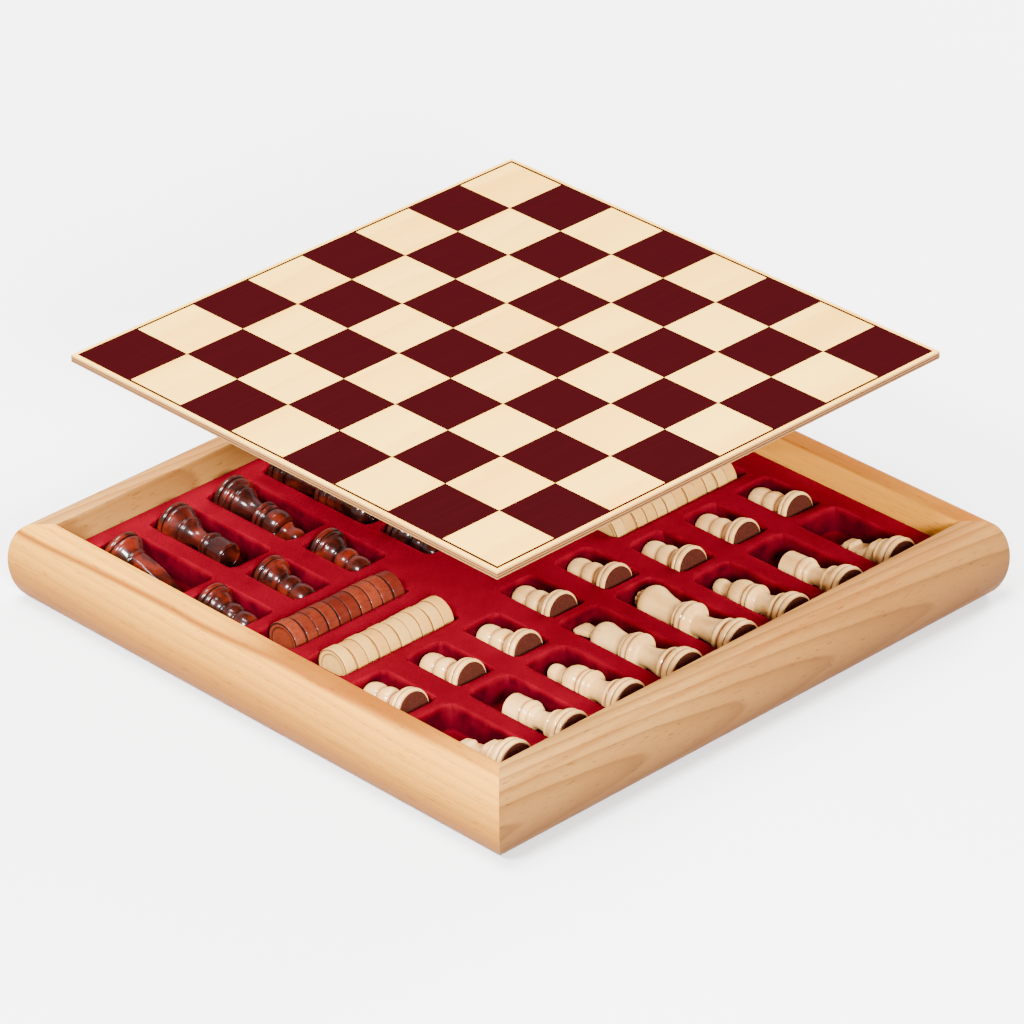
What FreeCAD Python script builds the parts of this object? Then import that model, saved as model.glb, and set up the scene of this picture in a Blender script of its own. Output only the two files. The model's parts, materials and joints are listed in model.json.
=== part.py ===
import FreeCAD, Part
import math
import os

# A chess and draughts set in a wooden tray box, shown with its playing board lifted off.
# All lengths are in millimetres. The box stands on z = 0 with its middle on the z axis.
# The light men lie along the front (-Y) rail. The dark half is the light half turned half way round.

# Playing board: a loose sheet of plywood, printed on both faces
square_side = 35.6
squares_per_side = 8
board_margin = 3.6
board_thickness = 4.0
board_edge_easing = 0.3
print_thickness = 0.15
print_line_width = 1.2
reverse_squares_per_side = 10
board_finger_gap = 8.0
board_rest_gap = 0.4
board_lift = 94.0

# Frame of four mitred rails with a rounded outer face
rail_height = 41.0
rail_flat_width = 8.0
rail_bulge = 9.5
rail_edge_easing = 0.8

# Base panel, held in a groove round the inside of the rails
panel_thickness = 3.0
panel_height = 7.5
panel_groove_depth = 4.0
panel_groove_play = 0.5

# Flocked tray, formed from one thin sheet
tray_sheet = 1.0
tray_side_gap = 0.5
tray_lip_radius = 1.6
pocket_depth = 14.0
pocket_corner_radius = 4.0
pocket_seat_gap = 0.3
pocket_side_gap = 0.7
pocket_base_gap = 1.5
pocket_head_gap = 2.0
minor_finger_space = 3.0
pawn_head_gap = 2.5
tray_border = 11.0
row_border = 12.0
pawn_row_strip = 8.0
middle_pawn_strip = 6.0
trough_side_gap = 1.0
trough_end_gap = 1.5
trough_finger_gap = 4.8
trough_border = 18.0
least_trough_strip = 4.0
trough_middle_strip = 12.5

# Chessmen: overall heights with their felts, and widths of their bases
king_height = 73.0
queen_height = 70.5
bishop_height = 54.0
knight_height = 45.5
rook_height = 42.0
pawn_height = 32.0
royal_base_diameter = 23.6
minor_base_diameter = 22.4
rook_base_diameter = 22.0
pawn_base_diameter = 20.6
base_rim_height = 2.7
base_groove_width = 0.6
felt_thickness = 0.8
felt_inset = 1.3
knight_head_thickness = 10.0
king_finial_thickness = 4.4
bishop_slit_width = 1.1
men_per_row = 8
rings_per_edge = 24

# Draughtsmen: turned discs with a sunk middle on both faces, stacked on edge
disc_diameter = 20.5
disc_thickness = 7.0
disc_rim_width = 2.6
disc_recess_depth = 0.7
disc_edge_easing = 0.5
left_stack_count = 10
right_stack_count = 12

# Extra length that carries a cutting shape past the faces it cuts
overrun = 1.0

# The belly of a rail is half an oval: its handles reach this far along the sides of a quarter of it
oval_handle_share = 0.5523

# Turned outlines above the base rim. Each step is a line to (radius, height), or an arc through one such
# point to another. Radius is a share of the base radius, and height a share of what stands above the rim.
base_rim_share = 0.96
base_groove_share = 0.87
body_start_share = 0.95
pawn_shares = (
    (0.97, 0.043, 0.88, 0.090),
    (0.76, 0.111),
    (0.72, 0.176, 0.56, 0.265),
    (0.50, 0.319),
    (0.54, 0.330),
    (0.66, 0.462, 0.58, 0.591),
    (0.54, 0.606),
    (0.56, 0.620),
    (0.66, 0.767, 0.60, 0.921),
    (0.45, 0.982, 0.0, 1.0),
)
rook_shares = (
    (0.985, 0.045, 0.90, 0.092),
    (0.80, 0.142, 0.68, 0.203),
    (0.73, 0.230, 0.64, 0.261),
    (0.45, 0.380, 0.42, 0.551),
    (0.50, 0.562),
    (0.55, 0.586, 0.50, 0.610),
    (0.60, 0.617),
    (0.68, 0.662, 0.63, 0.707),
    (0.59, 0.712),
    (0.62, 0.723),
    (0.66, 0.763),
    (0.68, 0.960),
    (0.67, 0.989, 0.62, 1.0),
    (0.52, 1.0),
    (0.48, 0.776),
    (0.0, 0.776),
)
bishop_shares = (
    (0.985, 0.034, 0.90, 0.070),
    (0.76, 0.088, 0.70, 0.118),
    (0.77, 0.138, 0.68, 0.170),
    (0.52, 0.258, 0.47, 0.411),
    (0.55, 0.419),
    (0.68, 0.425),
    (0.75, 0.449, 0.68, 0.473),
    (0.62, 0.477),
    (0.65, 0.483),
    (0.71, 0.509, 0.64, 0.535),
    (0.58, 0.539),
    (0.61, 0.545),
    (0.72, 0.639, 0.47, 0.768),
    (0.40, 0.800, 0.36, 0.830),
    (0.37, 0.860),
    (0.41, 0.920, 0.37, 0.968),
    (0.28, 0.992, 0.0, 1.0),
)
queen_shares = (
    (0.985, 0.026, 0.92, 0.053),
    (0.78, 0.068, 0.72, 0.098),
    (0.80, 0.119, 0.70, 0.146),
    (0.52, 0.255, 0.45, 0.405),
    (0.54, 0.416),
    (0.76, 0.422),
    (0.83, 0.441, 0.76, 0.461),
    (0.70, 0.464),
    (0.74, 0.468),
    (0.80, 0.496, 0.71, 0.524),
    (0.63, 0.529),
    (0.665, 0.548, 0.59, 0.569),
    (0.53, 0.601),
    (0.62, 0.706, 0.77, 0.804),
    (0.74, 0.880, 0.50, 0.922),
    (0.30, 0.932),
    (0.34, 0.938),
    (0.37, 0.959, 0.33, 0.982),
    (0.0, 1.0),
)
king_shares = (
    (0.985, 0.025, 0.92, 0.051),
    (0.78, 0.065, 0.72, 0.094),
    (0.80, 0.109, 0.70, 0.129),
    (0.50, 0.231, 0.43, 0.369),
    (0.52, 0.379),
    (0.76, 0.385),
    (0.83, 0.403, 0.76, 0.422),
    (0.70, 0.425),
    (0.74, 0.430),
    (0.79, 0.454, 0.70, 0.480),
    (0.62, 0.485),
    (0.655, 0.502, 0.58, 0.521),
    (0.50, 0.550),
    (0.57, 0.637, 0.665, 0.717),
    (0.63, 0.775, 0.46, 0.811),
    (0.30, 0.826),
    (0.0, 0.826),
)
knight_base_shares = (
    (0.985, 0.041, 0.90, 0.085),
    (0.78, 0.130, 0.66, 0.179),
    (0.70, 0.203, 0.62, 0.234),
    (0.0, 0.239),
)

# The king's flat finial, half of its outline: half widths and heights in the same shares
finial_half_shares = ((0.24, 0.80), (0.26, 0.85), (0.42, 0.965), (0.36, 1.0))

# The knight's head, seen from the side: the crest is on the left, the chest and muzzle are on the right.
# Widths are shares of the base radius, heights as above.
knight_start_shares = (-0.60, 0.215)
knight_head_shares = (
    (-0.72, 0.553, -0.58, 0.940),
    (-0.52, 1.0),
    (-0.36, 0.915),
    (0.08, 0.783),
    (0.12, 0.674),
    (-0.02, 0.645),
    (0.12, 0.480, 0.52, 0.336),
    (0.56, 0.215),
)

# The knight's head, seen from the front, half of its outline: half widths as shares of its thickness
knight_front_shares = ((0.5, 0.215), (0.5, 0.60), (0.3, 1.0))

# The bishop's slit: its height, how far in from the axis it stops, and its slope
slit_height_share = 0.73
slit_stop_share = 0.05
slit_slope_degrees = 35.0

# A lying man rests on its base and on something nearer its head than this share of its height
base_end_share = 0.3

# Sizes that follow from the ones above
field_side = square_side * squares_per_side
board_side = field_side + 2 * board_margin
major_pocket_width = max(royal_base_diameter, minor_base_diameter, rook_base_diameter) + 2 * pocket_side_gap
royal_pocket_length = max(king_height, queen_height) + pocket_base_gap + pocket_head_gap
minor_reach = max(bishop_height, knight_height, rook_height)
minor_pocket_length = minor_reach + pocket_base_gap + pocket_head_gap + minor_finger_space
pawn_pocket_width = pawn_base_diameter + 2 * pocket_side_gap
pawn_pocket_length = pawn_height + pocket_base_gap + pawn_head_gap
trough_width = disc_diameter + 2 * trough_side_gap
men_depth = tray_border + minor_pocket_length + pawn_row_strip + pawn_pocket_length
discs_depth = least_trough_strip + trough_width + trough_middle_strip / 2
opening_side = max(board_side + 2 * board_finger_gap, 2 * (men_depth + discs_depth))
rail_width = rail_flat_width + rail_bulge
outer_side = opening_side + 2 * rail_width
panel_top = panel_height + panel_thickness
pocket_floor = panel_top + tray_sheet
tray_top = pocket_floor + pocket_depth
tray_side = opening_side - 2 * tray_side_gap
body_start_height = felt_thickness + base_rim_height + base_groove_width
tallest_lying = max(royal_base_diameter, minor_base_diameter, rook_base_diameter, disc_diameter)
board_closed_height = pocket_floor + pocket_seat_gap + tallest_lying + board_rest_gap + print_thickness
board_bottom = board_closed_height + board_lift
board_top = board_bottom + board_thickness

men_pitch = (opening_side - 2 * row_border - major_pocket_width) / (men_per_row - 1)
majors_end = opening_side / 2 - tray_border
pawns_end = majors_end - minor_pocket_length - pawn_row_strip
middle_pawns_end = majors_end - royal_pocket_length - middle_pawn_strip
trough_middle = (trough_width + trough_middle_strip) / 2
trough_outer_end = opening_side / 2 - trough_border

UP = FreeCAD.Vector(0, 0, 1)
ORIGIN = FreeCAD.Vector(0, 0, 0)


def save(name, shape):
    """Writes one node, after checking that it is sound."""
    if not shape.isValid():
        raise ValueError(name + " is not a valid shape")
    shape.exportStep("parts/" + name + ".step")


def centred_box(side_x, side_y, bottom, height):
    """A block centred on the z axis, standing on the given level."""
    corner = FreeCAD.Vector(-side_x / 2, -side_y / 2, bottom)
    return Part.makeBox(side_x, side_y, height, corner)


def half_turned(shape):
    """The same shape on the dark side of the box."""
    turned = shape.copy()
    turned.rotate(ORIGIN, UP, 180)
    return turned


def outline_wire(points, close=True, lathe=False):
    """A wire through the points; a pair of points is an arc through the first to the second.

    Arcs of a lathe outline are held as splines, so that a swell wider than it is deep still turns cleanly.
    """
    edges = []
    here = points[0]
    for step in points[1:]:
        if isinstance(step, tuple):
            middle, end = step
            arc = Part.Arc(here, middle, end)
            edges.append(arc.toBSpline().toShape() if lathe else arc.toShape())
        else:
            end = step
            edges.append(Part.LineSegment(here, end).toShape())
        here = end
    if close:
        edges.append(Part.LineSegment(here, points[0]).toShape())
    return Part.Wire(edges)


# Rails: one profile carried along a side, cut to the mitres by a wedge, and turned to the four sides
def front_rail():
    inner = -opening_side / 2
    start = -outer_side / 2
    middle = rail_height / 2

    def at(out, height):
        return FreeCAD.Vector(start, inner - out, height)

    def quarter(end, rise):
        """A quarter of the belly, from the flat at the given height to the widest line, as one curve."""
        curve = Part.BezierCurve()
        near = at(rail_flat_width + oval_handle_share * rail_bulge, end)
        far = at(rail_width, middle + oval_handle_share * rise)
        curve.setPoles([at(rail_flat_width, end), near, far, at(rail_width, middle)])
        return curve.toShape()

    edges = [Part.LineSegment(at(0, 0), at(0, rail_height)).toShape()]
    edges.append(Part.LineSegment(at(0, rail_height), at(rail_flat_width, rail_height)).toShape())
    edges.append(quarter(rail_height, middle))
    edges.append(quarter(0, -middle))
    edges.append(Part.LineSegment(at(rail_flat_width, 0), at(0, 0)).toShape())
    bar = Part.Face(Part.Wire(edges)).extrude(FreeCAD.Vector(outer_side, 0, 0))
    top_edges = []
    for edge in bar.Edges:
        box = edge.BoundBox
        along = box.XLength > outer_side / 2
        inside = box.YMin > inner - rail_edge_easing
        if along and inside and box.ZMin > middle:
            top_edges.append(edge)
    bar = bar.makeFillet(rail_edge_easing, top_edges)
    reach = outer_side / 2 + overrun
    corners = [FreeCAD.Vector(0, 0, -overrun), FreeCAD.Vector(-reach, -reach, -overrun)]
    corners.append(FreeCAD.Vector(reach, -reach, -overrun))
    wedge = Part.Face(outline_wire(corners)).extrude(UP * (rail_height + 2 * overrun))
    groove_side = opening_side + 2 * panel_groove_depth
    groove = centred_box(groove_side, groove_side, panel_height, panel_thickness)
    return bar.common(wedge).cut(groove)


# Base panel
def base_panel():
    side = opening_side + 2 * (panel_groove_depth - panel_groove_play)
    return centred_box(side, side, panel_height, panel_thickness)


# Tray: pockets as (low x, high x, low y, high y), first for the light half of the set
def man_place(index):
    """Where the middle of a man's pocket stands along the row, for men numbered from zero."""
    return (index - (men_per_row - 1) / 2) * men_pitch


def is_middle(index):
    """True for the two places in the middle of the row, which hold the king and the queen."""
    return abs(2 * index - men_per_row + 1) < 2


def man_pocket(index, end, length, width):
    middle = man_place(index)
    return (middle - width / 2, middle + width / 2, -end, -end + length)


def trough(count, side, row):
    """A trough for a stack of discs: left (-1) or right (+1) end, light (-1) or dark (+1) row."""
    length = count * disc_thickness + trough_end_gap + trough_finger_gap
    ends = sorted((side * trough_outer_end, side * (trough_outer_end - length)))
    middle = row * trough_middle
    return (ends[0], ends[1], middle - trough_width / 2, middle + trough_width / 2)


def all_pockets():
    light = []
    for index in range(men_per_row):
        length = royal_pocket_length if is_middle(index) else minor_pocket_length
        light.append(man_pocket(index, majors_end, length, major_pocket_width))
        end = middle_pawns_end if is_middle(index) else pawns_end
        light.append(man_pocket(index, end, pawn_pocket_length, pawn_pocket_width))
    dark = [(-x1, -x0, -y1, -y0) for x0, x1, y0, y1 in light]
    troughs = []
    for row in (-1, 1):
        troughs.append(trough(left_stack_count, -1, row))
        troughs.append(trough(right_stack_count, 1, row))
    return light + dark + troughs


def rounded_block(sides, bottom, top, radius):
    """An upright block with rounded corners in plan."""
    x0, x1, y0, y1 = sides
    bow = radius * (1 - math.sqrt(0.5))

    def at(x, y):
        return FreeCAD.Vector(x, y, bottom)

    points = [at(x0 + radius, y0), at(x1 - radius, y0)]
    points.append((at(x1 - bow, y0 + bow), at(x1, y0 + radius)))
    points.append(at(x1, y1 - radius))
    points.append((at(x1 - bow, y1 - bow), at(x1 - radius, y1)))
    points.append(at(x0 + radius, y1))
    points.append((at(x0 + bow, y1 - bow), at(x0, y1 - radius)))
    points.append(at(x0, y0 + radius))
    points.append((at(x0 + bow, y0 + bow), at(x0 + radius, y0)))
    return Part.Face(outline_wire(points, close=False)).extrude(UP * (top - bottom))


def pocketed_block(side, top, swell, bottom, lip):
    """A slab with every pocket cut in it, the pockets swollen on all sides, and a rounded lip round each."""
    slab = centred_box(side, side, panel_top, top - panel_top)
    cutters = []
    for x0, x1, y0, y1 in all_pockets():
        sides = (x0 - swell, x1 + swell, y0 - swell, y1 + swell)
        cutters.append(rounded_block(sides, bottom, top + overrun, pocket_corner_radius + swell))
    slab = slab.cut(Part.makeCompound(cutters))
    lips = []
    for edge in slab.Edges:
        box = edge.BoundBox
        inside = max(abs(box.XMin), abs(box.XMax), abs(box.YMin), abs(box.YMax)) < side / 2 - tray_sheet
        if inside and box.ZMin > top - tray_sheet:
            lips.append(edge)
    return slab.makeFillet(lip, lips)


def tray():
    """The formed sheet: what lies under its upper face, less what lies under its lower face."""
    outside = pocketed_block(tray_side, tray_top, 0, pocket_floor, tray_lip_radius)
    lower_side = tray_side - 2 * tray_sheet
    lower_lip = tray_lip_radius - tray_sheet
    inside = pocketed_block(lower_side, tray_top - tray_sheet, tray_sheet, panel_top - overrun, lower_lip)
    return outside.cut(inside)


# Board and its printing
def eased_board():
    board = centred_box(board_side, board_side, board_bottom, board_thickness)
    upright = [edge for edge in board.Edges if edge.BoundBox.ZLength > board_thickness / 2]
    return board.makeFillet(board_edge_easing, upright)


def dark_squares(count, level, dark_first):
    """Every second square of a field, as thin squares of ink standing on the given level."""
    side = field_side / count
    inks = []
    for column in range(count):
        for row in range(count):
            if (column + row) % 2 == dark_first:
                corner = FreeCAD.Vector(column * side - field_side / 2, row * side - field_side / 2, level)
                inks.append(Part.makeBox(side, side, print_thickness, corner))
    return Part.makeCompound(inks)


def border_line(level):
    """The printed line that closes the field."""
    outer = field_side + 2 * print_line_width
    ring = centred_box(outer, outer, level, print_thickness)
    return ring.cut(centred_box(field_side, field_side, level - overrun, print_thickness + 2 * overrun))


# Chessmen, built upright on the felt, with the axis on z
def man_outline(shares, base_radius, height):
    """Half the outline of a turned man: a round base rim, a groove, and what the shares give."""
    body_height = height - body_start_height
    rim_top = felt_thickness + base_rim_height

    def at(radius, level):
        return FreeCAD.Vector(radius, 0, level)

    rim_radius = base_rim_share * base_radius
    groove_radius = base_groove_share * base_radius
    points = [at(0, felt_thickness), at(rim_radius, felt_thickness)]
    points.append((at(base_radius, felt_thickness + base_rim_height / 2), at(rim_radius, rim_top)))
    points.append(at(groove_radius, rim_top))
    points.append(at(groove_radius, body_start_height))
    points.append(at(body_start_share * base_radius, body_start_height))
    for step in shares:
        spots = []
        for place in range(0, len(step), 2):
            level = body_start_height + step[place + 1] * body_height
            spots.append(at(step[place] * base_radius, level))
        points.append(tuple(spots) if len(spots) > 1 else spots[0])
    return outline_wire(points, lathe=True)


def turned(shares, base_radius, height):
    """A turned man on its axis."""
    return Part.Face(man_outline(shares, base_radius, height)).revolve(ORIGIN, UP, 360)


def felt(base_radius):
    return Part.makeCylinder(base_radius - felt_inset, felt_thickness)


def plate_outline(start, shares, base_radius, height, thickness):
    """The outline of a flat plate along the axis, given in shares, on the plate's near face."""
    body_height = height - body_start_height

    def at(width_share, height_share):
        level = body_start_height + height_share * body_height
        return FreeCAD.Vector(width_share * base_radius, -thickness / 2, level)

    points = [at(*start)]
    for step in shares:
        spots = [at(step[place], step[place + 1]) for place in range(0, len(step), 2)]
        points.append(tuple(spots) if len(spots) > 1 else spots[0])
    return outline_wire(points)


def flat_plate(start, shares, base_radius, height, thickness):
    """The plate itself, with its thickness set evenly about the axis."""
    outline = plate_outline(start, shares, base_radius, height, thickness)
    return Part.Face(outline).extrude(FreeCAD.Vector(0, thickness, 0))


def pawn():
    return turned(pawn_shares, pawn_base_diameter / 2, pawn_height)


def rook():
    return turned(rook_shares, rook_base_diameter / 2, rook_height)


def queen():
    return turned(queen_shares, royal_base_diameter / 2, queen_height)


def king():
    radius = royal_base_diameter / 2
    left = [(-width, level) for width, level in finial_half_shares]
    right = [(width, level) for width, level in reversed(finial_half_shares)]
    finial = flat_plate(left[0], left[1:] + right, radius, king_height, king_finial_thickness)
    return turned(king_shares, radius, king_height).fuse(finial)


def bishop():
    radius = minor_base_diameter / 2
    level = body_start_height + slit_height_share * (bishop_height - body_start_height)
    stop = slit_stop_share * radius
    corner = FreeCAD.Vector(-radius, -stop - radius, level)
    slit = Part.makeBox(2 * radius, radius, bishop_slit_width, corner)
    slit.rotate(FreeCAD.Vector(0, -stop, level), FreeCAD.Vector(1, 0, 0), -slit_slope_degrees)
    return turned(bishop_shares, radius, bishop_height).cut(slit)


def knight(front_turn):
    """The base with the flat head on it, the head's front turned by so many degrees from +X."""
    radius = minor_base_diameter / 2
    head = flat_plate(knight_start_shares, knight_head_shares, radius, knight_height, knight_head_thickness)
    across = knight_head_thickness / radius
    left = [(-width * across, level) for width, level in knight_front_shares]
    right = [(width * across, level) for width, level in reversed(knight_front_shares)]
    front = flat_plate(left[0], left[1:] + right, radius, knight_height, minor_base_diameter)
    front.rotate(ORIGIN, UP, 90)
    head = head.common(front)
    head.rotate(ORIGIN, UP, front_turn)
    return turned(knight_base_shares, radius, knight_height).fuse(head)


def spots_along(wire):
    """Points along a wire, as (width, level)."""
    return [(spot.x, spot.z) for edge in wire.Edges for spot in edge.discretize(rings_per_edge)]


def lying_rest(shares, base_radius, height, under_side=()):
    """How far a man tips head down when it lies, and how high that leaves the middle of its base.

    Besides its turned outline, other points of its under side may be given. It tips until a point near its
    head is as low as the lowest of its base.
    """
    rings = spots_along(man_outline(shares, base_radius, height)) + list(under_side)
    base = [ring for ring in rings if ring[1] < base_end_share * height]
    rest = [ring for ring in rings if ring[1] >= base_end_share * height]
    slopes = []
    for radius, level in base:
        slopes.append(min((radius - far_radius) / (far_level - level) for far_radius, far_level in rest))
    tilt = math.atan(max(slopes))
    rise = max(radius * math.cos(tilt) + level * math.sin(tilt) for radius, level in rings)
    return tilt, rise


def laid(man, base_radius, tilt, rise, middle, end):
    """Lays a man on its side in a pocket, base towards the front rail, resting on its base and head."""
    shape = Part.makeCompound([man, felt(base_radius)])
    shape.rotate(ORIGIN, FreeCAD.Vector(1, 0, 0), -90 - math.degrees(tilt))
    set_back = -end + pocket_base_gap + base_radius * math.sin(tilt)
    shape.translate(FreeCAD.Vector(middle, set_back, pocket_floor + pocket_seat_gap + rise))
    return shape


# Rows of men. Each kind is (its shape, its base radius, its tilt, its rise)
pawn_radius = pawn_base_diameter / 2
rook_radius = rook_base_diameter / 2
minor_radius = minor_base_diameter / 2
royal_radius = royal_base_diameter / 2
pawn_kind = (pawn(), pawn_radius, *lying_rest(pawn_shares, pawn_radius, pawn_height))
rook_kind = (rook(), rook_radius, *lying_rest(rook_shares, rook_radius, rook_height))
bishop_kind = (bishop(), minor_radius, *lying_rest(bishop_shares, minor_radius, bishop_height))
queen_kind = (queen(), royal_radius, *lying_rest(queen_shares, royal_radius, queen_height))
king_kind = (king(), royal_radius, *lying_rest(king_shares, royal_radius, king_height))

# The light knights lie on their crest, the dark ones on their chest and muzzle
knight_plate = (knight_start_shares, knight_head_shares, minor_radius, knight_height, knight_head_thickness)
chest_side = spots_along(plate_outline(*knight_plate))
crest_side = [(-width, level) for width, level in chest_side]
light_rest = lying_rest(knight_base_shares, minor_radius, knight_height, crest_side)
dark_rest = lying_rest(knight_base_shares, minor_radius, knight_height, chest_side)
light_knight_kind = (knight(-90), minor_radius, *light_rest)
dark_knight_kind = (knight(90), minor_radius, *dark_rest)


def major_row(knight_kind):
    return (
        ("knight_a", knight_kind),
        ("rook_a", rook_kind),
        ("bishop_a", bishop_kind),
        ("king", king_kind),
        ("queen", queen_kind),
        ("bishop_b", bishop_kind),
        ("rook_b", rook_kind),
        ("knight_b", knight_kind),
    )


def save_men():
    for index, (name, kind) in enumerate(major_row(light_knight_kind)):
        save("light_" + name, laid(*kind, man_place(index), majors_end))
    for index, (name, kind) in enumerate(major_row(dark_knight_kind)):
        save("dark_" + name, half_turned(laid(*kind, man_place(index), majors_end)))
    for index in range(men_per_row):
        end = middle_pawns_end if is_middle(index) else pawns_end
        man = laid(*pawn_kind, man_place(index), end)
        save("light_pawn_%d" % (index + 1), man)
        save("dark_pawn_%d" % (index + 1), half_turned(man))


# Draughtsmen
def disc():
    """One disc with its axis along x, its left face on x = 0, and both faces sunk inside a rim."""
    radius = disc_diameter / 2
    middle = radius - disc_rim_width

    def at(out, along):
        return FreeCAD.Vector(along, 0, out)

    points = [at(0, disc_recess_depth), at(middle, disc_recess_depth), at(middle, 0)]
    points.append(at(radius - disc_edge_easing, 0))
    points.append(at(radius, disc_edge_easing))
    points.append(at(radius, disc_thickness - disc_edge_easing))
    points.append(at(radius - disc_edge_easing, disc_thickness))
    points.append(at(middle, disc_thickness))
    points.append(at(middle, disc_thickness - disc_recess_depth))
    points.append(at(0, disc_thickness - disc_recess_depth))
    return Part.Face(outline_wire(points)).revolve(ORIGIN, FreeCAD.Vector(1, 0, 0), 360)


def stack(count, side, row):
    """A stack of discs on edge, pushed to the inner end of its trough."""
    x0, x1, y0, y1 = trough(count, side, row)
    length = count * disc_thickness
    start = x1 - trough_end_gap - length if side < 0 else x0 + trough_end_gap
    height = pocket_floor + pocket_seat_gap + disc_diameter / 2
    discs = []
    for place in range(count):
        one = disc()
        one.translate(FreeCAD.Vector(start + place * disc_thickness, (y0 + y1) / 2, height))
        discs.append(one)
    return Part.makeCompound(discs)


os.makedirs("parts", exist_ok=True)

rail = front_rail()
for place, side_name in enumerate(("front", "right", "back", "left")):
    turned_rail = rail.copy()
    turned_rail.rotate(ORIGIN, UP, 90 * place)
    save("rail_" + side_name, turned_rail)
save("base_panel", base_panel())
save("flocked_tray", tray())
save("playing_board", eased_board())
save("chess_squares", dark_squares(squares_per_side, board_top, 1))
save("chess_border_line", border_line(board_top))
save("draughts_squares", dark_squares(reverse_squares_per_side, board_bottom - print_thickness, 0))
save("draughts_border_line", border_line(board_bottom - print_thickness))
save_men()
save("light_draughts_left", stack(left_stack_count, -1, -1))
save("light_draughts_right", stack(right_stack_count, 1, -1))
save("dark_draughts_left", stack(left_stack_count, -1, 1))
save("dark_draughts_right", stack(right_stack_count, 1, 1))
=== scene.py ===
# A boxed chess and draughts set, with its checkered board lifted off the box
import json
import math

import bpy
import numpy as np
from mathutils import Matrix, Vector


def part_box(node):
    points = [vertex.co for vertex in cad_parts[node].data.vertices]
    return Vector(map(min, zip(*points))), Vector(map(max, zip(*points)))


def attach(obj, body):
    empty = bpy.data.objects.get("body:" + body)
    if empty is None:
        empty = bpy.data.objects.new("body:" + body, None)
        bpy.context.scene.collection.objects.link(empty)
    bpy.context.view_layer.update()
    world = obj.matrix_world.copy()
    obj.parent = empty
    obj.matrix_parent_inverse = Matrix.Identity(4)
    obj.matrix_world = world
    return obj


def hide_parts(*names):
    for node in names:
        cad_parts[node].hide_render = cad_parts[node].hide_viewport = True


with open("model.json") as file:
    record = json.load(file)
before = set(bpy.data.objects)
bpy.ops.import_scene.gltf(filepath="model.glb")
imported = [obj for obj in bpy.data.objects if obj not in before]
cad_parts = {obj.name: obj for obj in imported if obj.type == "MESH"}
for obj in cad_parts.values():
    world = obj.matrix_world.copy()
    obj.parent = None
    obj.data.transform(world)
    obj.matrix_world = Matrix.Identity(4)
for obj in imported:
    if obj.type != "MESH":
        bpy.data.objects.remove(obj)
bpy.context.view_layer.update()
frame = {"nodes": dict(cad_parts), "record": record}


# Rails of the box
# Four bars of honey-coloured pine with a narrow flat top and a belly like half an oval, mitred at the corners
# and glued into a frame. They are sanded smooth, the inner edge just broken, with a satin varnish. Their
# bellies are painted darker towards the foot as shade.
RAIL_FLAT = 0.008
RAIL_EASING = 0.0008
rail_low, rail_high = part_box("rail_front")
rail_inner = -rail_high[1]
rail_width = rail_high[1] - rail_low[1]
rail_height = rail_high[2] - rail_low[2]


def grid_faces(rows, columns, close_columns=False):
    """Quads of a grid whose points are numbered row by row; the last column may join the first again."""
    across = columns if close_columns else columns - 1
    row, column = np.meshgrid(np.arange(rows - 1), np.arange(across), indexing="ij")
    following = (column + 1) % columns
    corners = (
        row * columns + column,
        row * columns + following,
        (row + 1) * columns + following,
        (row + 1) * columns + column,
    )
    return np.stack(corners, axis=-1).reshape(-1, 4)


def add_piece(name, points, faces, material, crease_degrees=40.0):
    """A mesh piece at the origin, shaded smooth over edges that bend less than the crease."""
    mesh = bpy.data.meshes.new(name)
    mesh.from_pydata(np.asarray(points).reshape(-1, 3).tolist(), [], [list(face) for face in faces])
    mesh.shade_smooth()
    mesh.set_sharp_from_angle(angle=math.radians(crease_degrees))
    mesh.materials.append(material)
    piece = bpy.data.objects.new(name, mesh)
    bpy.context.scene.collection.objects.link(piece)
    return piece


def rail_profile():
    """The rail cut across, as (out, up): inner wall, quarter round, flat, and half an oval."""
    wall = np.stack([np.zeros(8), np.linspace(0, rail_height - RAIL_EASING, 9)[:-1]], axis=-1)
    turn = np.linspace(math.pi, math.pi / 2, 5)
    edge = RAIL_EASING * np.stack([1 + np.cos(turn), np.sin(turn) - 1], axis=-1) + (0, rail_height)
    swing = np.linspace(math.pi / 2, -math.pi / 2, 65)
    out = RAIL_FLAT + (rail_width - RAIL_FLAT) * np.cos(swing)
    belly = np.stack([out, rail_height / 2 * (1 + np.sin(swing))], axis=-1)
    return np.concatenate([wall, edge, belly])


def rail_surface(quarter_turns):
    """The profile carried along one side, each line cut by the mitres, and turned to its side of the box."""
    profile = rail_profile()
    along = np.linspace(-1, 1, 41)[:, None]
    out = rail_inner + profile[None, :, 0]
    x = along * out
    y = -out + 0 * along
    z = rail_low[2] + profile[None, :, 1] + 0 * along
    turn = np.exp(1j * math.pi / 2 * quarter_turns)
    flat = (x + 1j * y) * turn
    return np.stack([flat.real, flat.imag, z], axis=-1)


def srgb(red, green, blue):
    """A colour in screen values from 0 to 255, as linear light."""
    share = np.array((red, green, blue)) / 255
    linear = np.where(share <= 0.04045, share / 12.92, ((share + 0.055) / 1.055) ** 2.4)
    return (*linear.tolist(), 1.0)


def add(tree, kind, inputs, **settings):
    """A shader node with its settings, each input set to a value or linked to an output."""
    made = tree.nodes.new("ShaderNode" + kind)
    for key, value in settings.items():
        setattr(made, key, value)
    for key, value in inputs.items():
        if isinstance(value, bpy.types.NodeSocket):
            tree.links.new(value, made.inputs[key])
        else:
            made.inputs[key].default_value = value
    return made


def maths(tree, operation, first, second=0.0, third=0.0):
    """The result of one sum on values or outputs."""
    return add(tree, "Math", {0: first, 1: second, 2: third}, operation=operation).outputs[0]


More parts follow.
